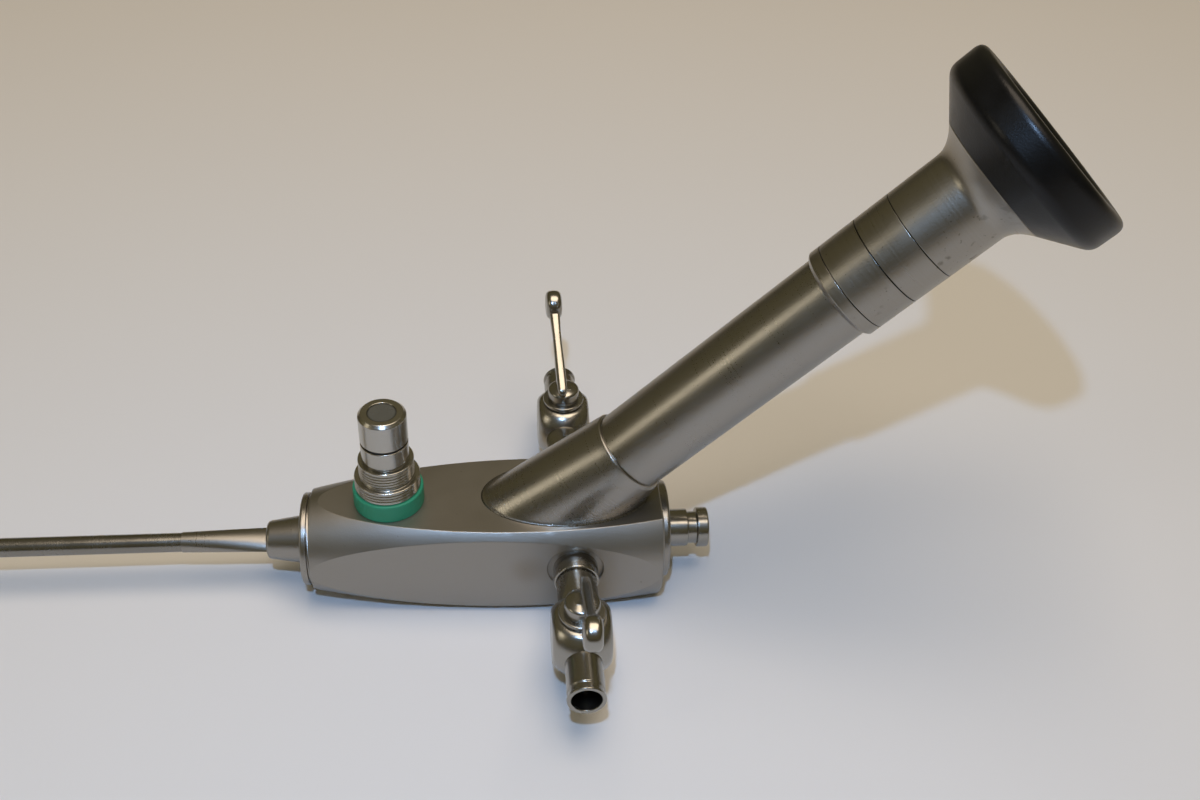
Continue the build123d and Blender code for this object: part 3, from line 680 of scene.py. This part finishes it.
# %% Collar, cone, sleeve, plate and port
shaft = axis_frame((0, 0, 8.5), (1, 0, 0))
hole, end_face, collar_face, cone_end = 1.57, 28.3, -29.9, -35.8
plate_face, port_bore, port_end = 29.7, 1.9, 36.75


def shaft_piece(name, outline, finish, stands_for):
    """A turned piece on the line of the sheath."""
    turned(name, shaft, outline, finish, fixed, [stands_for])


collar = [(collar_face, hole), (collar_face, 7.6, 0.6), (-28.8, 7.6, 0.25), (-28.8, 7.2, 0.05)]
collar += [(-end_face, 7.2), (-end_face, hole)]
shaft_piece("shaft_collar", collar, shaft_steel, "distal_collar")
cone = [(cone_end, hole), (cone_end, 3.05, 0.7), (collar_face, 3.95, 0.1), (collar_face, hole)]
shaft_piece("short_cone", cone, shaft_steel, "shaft_cone")
sleeve = [(-49.5, hole), (-49.5, 1.66, 0.05), (cone_end, 1.98), (cone_end, hole)]
shaft_piece("tapered_sleeve", sleeve, shaft_steel, "shaft_sleeve")
plate = [(end_face, 2.92), (end_face, 8.0, 0.1), (plate_face, 8.0, 0.55), (plate_face, 2.92)]
shaft_piece("end_plate", plate, shaft_steel, "rear_plate")
port = [(20.3, port_bore), (20.3, 2.9), (plate_face, 2.9), (plate_face, 3.1), (33.3, 3.1, 0.3)]
port += [(33.3, 2.65, 0.12), (34.8, 2.65, 0.12), (34.8, 3.3, 0.35), (port_end, 3.3, 0.35)]
port += [(port_end, port_bore, 0.3), (29.9, port_bore), (29.9, 2.3), (end_face, 2.3)]
port += [(end_face, port_bore)]
shaft_piece("cap_port", port, polished, "instrument_port")
print("shaft and port made")

# %% [markdown]
# ## The stopcocks
# Each is a small forged and polished body on a neck, with a tapered plug through it and a lever on
# the plug's square end. The body is a ball with four flats, worn round at the edges. Where a ball
# and planes meet softly, their distances can be added with a high power, which acts as a minimum.


# %% Ball with soft flats
def soft_block(name, centre, ball, flats, power, finish, body, stands_for):
    """Distance from the centre in direction n: (ball^-p + |nx/a|^p + |nz/c|^p)^(-1/p).

    a and c are the flats' distances, and p is the power: the higher, the sharper the edges.
    """
    angle = np.linspace(0, 2 * np.pi, 192, endpoint=False)
    rise = np.linspace(-np.pi / 2, np.pi / 2, 97)[:, None]
    x, y = np.cos(rise) * np.cos(angle), np.cos(rise) * np.sin(angle)
    z = np.sin(rise) * np.ones(len(angle))
    total = ball**-power + np.abs(x / flats[0]) ** power + np.abs(z / flats[1]) ** power
    rows = np.array(centre) + np.stack([x, y, z], -1) * total[..., None] ** (-1 / power)
    return skin(name, rows[::-1, ::-1], finish, body, stands_for, poles=True)


# %% [markdown]
# The lever is drawn out under the hammer: thick at the hub, slim in the middle, wider again at the
# thumb pad. Its section is an oval with flattened sides, carried along a line and scaled on it.


# %% Lever bar
def lever_bar(name, start, end, side, widths, heights, body, stands_for):
    """Point = path(s) + w(s) C(a) side + h(s) S(a) lift, with C and S squared off.

    C = sign(cos a) |cos a|^squareness, and S the same of the sine. Both half sizes shrink to 0 over
    end_length at the two ends, as a circle's height does, which closes the bar in round ends.
    """
    squareness, end_length = 0.6, 1.1
    s = np.linspace(0, 1, 65)[:, None]
    s = 0.5 - 0.5 * np.cos(np.pi * s)
    angle = np.linspace(0, 2 * np.pi, 48, endpoint=False)
    start, end, side = (np.array(p, float) for p in (start, end, side))
    length = np.linalg.norm(end - start)
    lift = np.cross(side, (end - start) / length)
    stations = np.linspace(0, 1, len(widths))
    width, height = np.interp(s, stations, widths), np.interp(s, stations, heights)
    ends = np.minimum(s, 1 - s) * length / end_length
    close_up = np.sqrt(np.clip(1 - np.clip(1 - ends, 0, 1) ** 2, 0, 1))
    across = np.sign(np.cos(angle)) * np.abs(np.cos(angle)) ** squareness * width * close_up
    upward = np.sign(np.sin(angle)) * np.abs(np.sin(angle)) ** squareness * height * close_up
    path = start + s[..., None] * (end - start)
    rows = path + across[..., None] * side + upward[..., None] * lift
    return skin(name, rows[::-1], polished, body, stands_for, poles=True)


# %% Both stopcocks
cock_x, cock_z = 14.0, 9.8
passage, pipe, pipe_lip = 1.1, 2.87, 2.95
bar_widths = (0.8, 0.88, 0.86, 0.8, 0.78, 0.9, 1.1)
bar_heights = (0.8, 0.95, 0.9, 0.8, 0.75, 0.9, 1.0)
ball, flats, sharpness = 6.24, (4.6, 4.85), 26
bar_shift, tail_reach, pad_reach = 0.47, 3.4, 13.7
root_height, tail_rise, pad_rise = 8.3, 0.4, 8.0
for label, side, plug_y, turn in (("front", -1, 24.0, -0.8), ("rear", 1, 26.8, 3.0)):
    tap, centre = label + "_tap", np.array((cock_x, side * plug_y, cock_z))
    flow = axis_frame((cock_x, 0, cock_z), (0, side, 0))
    upright = axis_frame(centre, (0, 0, 1))
    neck = [(9.75, passage), (9.75, 3.6, 0.1), (12.95, 3.6, 0.3), (12.95, 2.85, 0.05)]
    neck += [(13.25, 2.85, 0.05), (13.25, 3.2, 0.1), (plug_y - 5.0, 3.2), (plug_y - 5.0, passage)]
    turned(label + "_stub", flow, neck, polished, fixed, [label + "_neck"])
    cock_body = [label + "_cock_body"]
    soft_block(label + "_body", centre, ball, flats, sharpness, polished, fixed, cock_body)
    mouth = plug_y + 12.4
    outlet = [(plug_y + 4.9, passage), (plug_y + 4.9, pipe), (mouth - 1.6, pipe, 0.1)]
    outlet += [(mouth - 1.45, 2.72, 0.05), (mouth - 0.65, 2.72, 0.05), (mouth - 0.5, pipe_lip, 0.1)]
    outlet += [(mouth, pipe_lip, 0.22), (mouth, 2.3, 0.2), (mouth - 7.5, 2.08)]
    outlet += [(mouth - 7.5, passage)]
    turned(label + "_cone_socket", flow, outlet, polished, fixed, [label + "_outlet"])
    disc = [(4.95, 2.52), (4.95, 3.6, 0.25), (5.7, 3.6, 0.25), (5.7, 2.52)]
    turned(label + "_disc", upright, disc, polished, tap, [label + "_washer"])
    hub = [(5.72, 0), (5.72, 2.75, 0.15), (7.7, 2.75, 0.45), (8.25, 1.5, 0.6), (8.35, 0)]
    lever = [label + "_lever"]
    turned(label + "_hub", upright, hub, polished, tap, lever)
    way = Matrix.Rotation(math.radians(turn), 3, "Z") @ Vector((0, side, 0))
    across = way.cross(Vector((0, 0, 1)))
    root = Vector(centre) + Vector((0, 0, root_height)) - across * bar_shift
    tail = root - way * tail_reach + Vector((0, 0, tail_rise))
    pad = root + way * pad_reach + Vector((0, 0, pad_rise))
    lever_bar(label + "_bar", tail, pad, across, bar_widths, bar_heights, tap, lever)
    thumb = [(-1.4, 0), (-1.4, 2.6, 1.15), (1.4, 2.6, 1.15), (1.4, 0)]
    turned(label + "_thumb_pad", axis_frame(pad, across), thumb, polished, tap, lever)
print("stopcocks made")

# %% [markdown]
# ## Table and light
# The instrument lies on a pale sheet in a softly lit room. Painted light makes the sheet slightly
# cooler near the camera and warmer at the back. A broad warm light overhead gives the soft shading,
# and a faint one low at the left draws the band along the tubes. A small bluish lamp near the
# camera
# casts the crisp shadow: it fills everything except its own shadow, which is why that shadow looks
# tan.

# %% Pale table
half = 3.0
floor_mesh = bpy.data.meshes.new("floor")
corners = [(-half, -half, 0), (half, -half, 0), (half, half, 0), (-half, half, 0)]
floor_mesh.from_pydata(corners, [], [(0, 1, 2, 3)])
finish = Finish("pale sheet")
# painted light: the sheet's tint goes from cool near the camera to warm at the back, standing for
# the near lamp's light fading with distance
depth = window(finish, along(finish, (0, 1, 0)), 0, 300)
sheet = blend(finish, depth, rgb(0.75, 0.755, 0.77), rgb(0.80, 0.775, 0.75))
sheet = blend(finish, clouds(finish, 60, 3.0) * 0.25, sheet, rgb(0.72, 0.715, 0.72))
floor_mesh.materials.append(close(finish, sheet, 0.9, clouds(finish, 1.2, 2.0), 0.05))
floor = bpy.data.objects.new("floor", floor_mesh)
floor.location.z = -0.0001
bpy.context.scene.collection.objects.link(floor)
print("floor laid")

# %% Lights
middle = (20, 0, 20)


def lamp(name, position, size, watts, colour):
    """A square of light at a point in millimetres, facing the middle of the instrument."""
    data = bpy.data.lights.new(name, "AREA")
    data.size, data.energy, data.color = size * MM, watts, colour
    light = bpy.data.objects.new(name, data)
    light.location = Vector(position) * MM
    away = light.location - Vector(middle) * MM
    light.rotation_euler = away.to_track_quat("Z", "Y").to_euler()
    bpy.context.scene.collection.objects.link(light)


lamp("overhead", (90, -20, 850), 600, 4.2, (1.0, 0.845, 0.67))
lamp("left", (-770, -260, 430), 260, 0.45, (1.0, 0.90, 0.72))
lamp("small near lamp", (-14, -168, 284), 9, 0.44, (0.38, 0.60, 0.97))
print("lamps set")

# %% Room around
world = bpy.data.worlds.new("room")
bpy.context.scene.world = world
room = Finish("room", world)
direction = room.node("ShaderNodeTexCoord", output="Generated")
with_up = {0: direction, 1: (0, 0, 1)}
height = room.node("ShaderNodeVectorMath", {"operation": "DOT_PRODUCT"}, with_up, "Value")
horizon = [(0.0, (0.05, 0.042, 0.03)), (0.1, (0.07, 0.06, 0.035))]
walls = [(0.35, (0.15, 0.128, 0.062)), (0.65, (0.14, 0.12, 0.065))]
ceiling = [(1.0, (0.12, 0.105, 0.07))]
dim = room.node("ShaderNodeValToRGB", {"stops": horizon + walls + ceiling}, {0: height})
lit = room.node("ShaderNodeBackground", None, {"Color": dim, "Strength": 1.0})
room.node("ShaderNodeOutputWorld", None, {"Surface": lit})
bpy.context.scene.view_settings.view_transform = "Standard"
print("room set")
